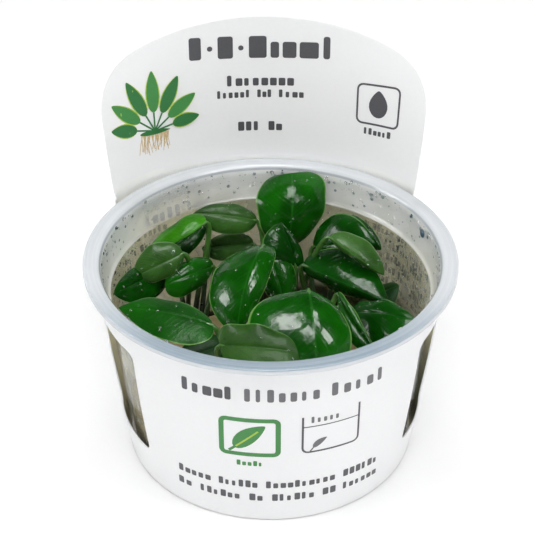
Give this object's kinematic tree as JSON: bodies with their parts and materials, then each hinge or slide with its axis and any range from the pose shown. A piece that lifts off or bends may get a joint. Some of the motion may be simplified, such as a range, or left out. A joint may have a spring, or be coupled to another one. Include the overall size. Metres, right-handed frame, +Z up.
{
  "type": "potted aquarium plant in a tissue culture cup",
  "caption": "Round clear culture cup holding a clump of broad glossy green leaves on set gel, wrapped in a white card sleeve with a tall arched back panel.",
  "frame": {"origin": "middle of the cup's flat base, on the surface that the cup stands on", "axes": "+Z up through the mouth of the cup, -Y towards the front panel of the sleeve, +X to the right as seen from the front"},
  "size_m": [0.0998, 0.1027, 0.1026],
  "materials": {
    "clear_plastic": "clear, slightly milky, smooth",
    "printed_card": null,
    "growing_gel": "wet, cloudy amber",
    "rhizome_skin": "ringed green skin",
    "leaf": "wet glossy deep green with paler edges",
    "root_skin": "pale tan, slightly fuzzy"
  },
  "bodies": {
    "root": {"cup": "clear_plastic", "card_sleeve": "printed_card", "growth_gel": "growing_gel", "rhizome_1": "rhizome_skin", "rhizome_2": "rhizome_skin", "rhizome_3": "rhizome_skin", "rhizome_4": "rhizome_skin", "rhizome_5": "rhizome_skin", "rhizome_6": "rhizome_skin", "leaf_01": "leaf", "leaf_02": "leaf", "leaf_03": "leaf", "leaf_04": "leaf", "leaf_05": "leaf", "leaf_06": "leaf", "leaf_07": "leaf", "leaf_08": "leaf", "leaf_09": "leaf", "leaf_10": "leaf", "leaf_11": "leaf", "leaf_12": "leaf", "leaf_13": "leaf", "leaf_14": "leaf", "leaf_15": "leaf", "leaf_16": "leaf", "leaf_17": "leaf", "leaf_18": "leaf", "leaf_19": "leaf", "leaf_20": "leaf", "leaf_21": "leaf", "leaf_22": "leaf", "leaf_23": "leaf", "leaf_24": "leaf", "leaf_25": "leaf", "leaf_26": "leaf", "root_1": "root_skin", "root_2": "root_skin", "root_3": "root_skin", "root_4": "root_skin", "root_5": "root_skin", "root_6": "root_skin", "root_7": "root_skin", "root_8": "root_skin"}
  },
  "joints": []
}
